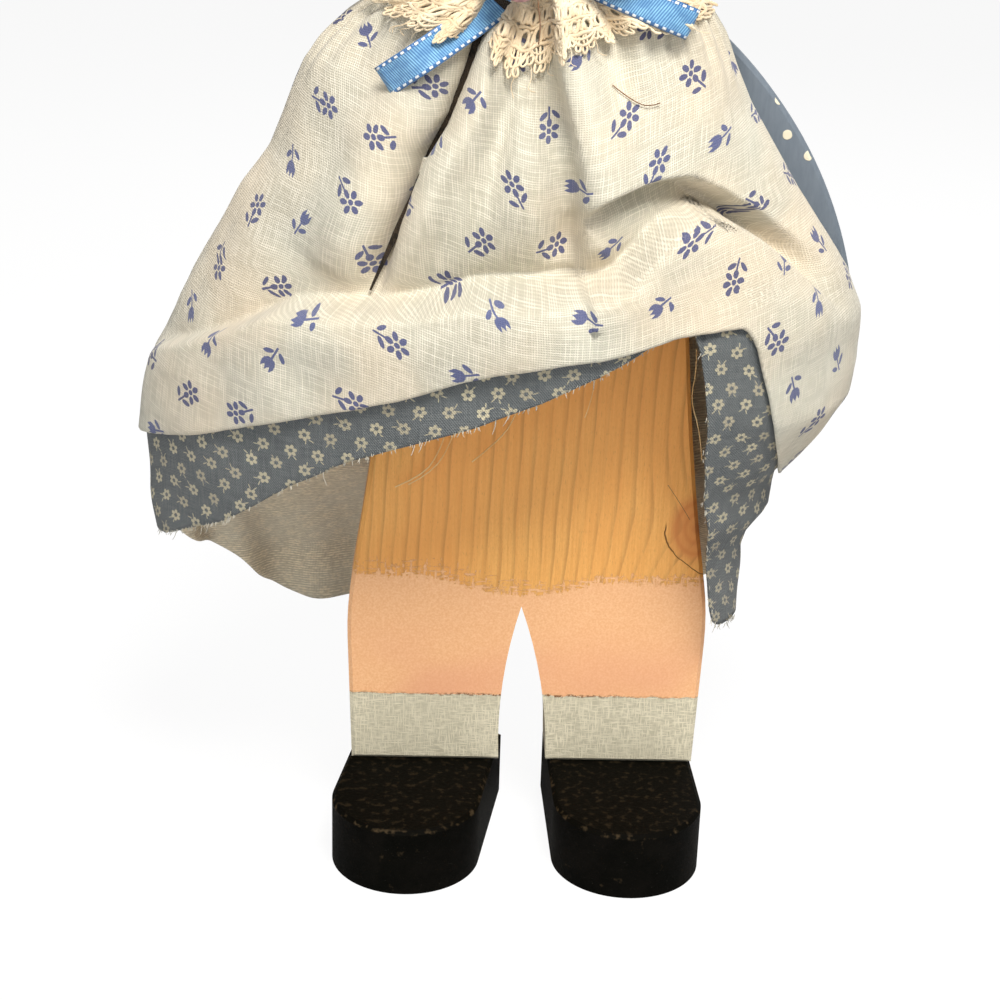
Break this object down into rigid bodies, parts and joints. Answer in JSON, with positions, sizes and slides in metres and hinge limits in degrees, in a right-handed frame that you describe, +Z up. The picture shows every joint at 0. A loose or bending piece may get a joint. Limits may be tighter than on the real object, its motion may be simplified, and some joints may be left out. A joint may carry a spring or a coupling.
{
  "type": "peg wooden doll",
  "caption": "Flat wooden doll sawn from one board, with black block shoes, arms on turned shoulder pegs, a gathered print dress over a calico underskirt, a lace collar and a ribbon bow.",
  "frame": {"origin": "on the floor under the centre of the doll's outline", "axes": "+Z up from the soles to the head, the face and the shoes' toes towards -Y, the doll's own left towards +X"},
  "size_m": [0.1802, 0.1009, 0.301],
  "materials": {
    "pine_board": "bare sawn pine with painted legs and socks",
    "painted_arm": "matte slate-blue sleeve paint with cream dots and a flesh hand",
    "peg_wood": "bare turned birch",
    "shoe_paint": "matte black paint, worn at the edges",
    "dress_cotton": "loosely woven cream cotton with a small blue floral print",
    "calico": "slate-blue calico with small cream flowers and a frayed edge",
    "tie_tape": "plain cotton tape",
    "lace": "cream crochet lace",
    "blue_ribbon": "mid-blue satin with white stitched edges",
    "rose_ribbon": "dusty-pink satin",
    "hair": "brown wool curls"
  },
  "bodies": {
    "doll": {"body_board": "pine_board", "left_shoulder_peg": "peg_wood", "right_shoulder_peg": "peg_wood", "left_shoe": "shoe_paint", "right_shoe": "shoe_paint", "left_shoe_dowel": "peg_wood", "right_shoe_dowel": "peg_wood", "dress": "dress_cotton", "underskirt": "calico", "waist_tie": "tie_tape", "lace_collar": "lace", "neck_ribbon": "blue_ribbon", "ribbon_rose": "rose_ribbon", "wig": "hair", "left_curls": "hair", "right_curls": "hair"},
    "left_arm_body": {"left_arm": "painted_arm"},
    "right_arm_body": {"right_arm": "painted_arm"}
  },
  "joints": [
    {"name": "left_shoulder", "type": "hinge", "parent": "doll", "child": "left_arm_body", "pos_m": [0.0346, 0.02275, 0.1985], "axis": [0, -1, 0], "range_deg": [-12, 80]},
    {"name": "right_shoulder", "type": "hinge", "parent": "doll", "child": "right_arm_body", "pos_m": [-0.0194, 0.02275, 0.1985], "axis": [0, 1, 0], "range_deg": [-7, 85]}
  ]
}
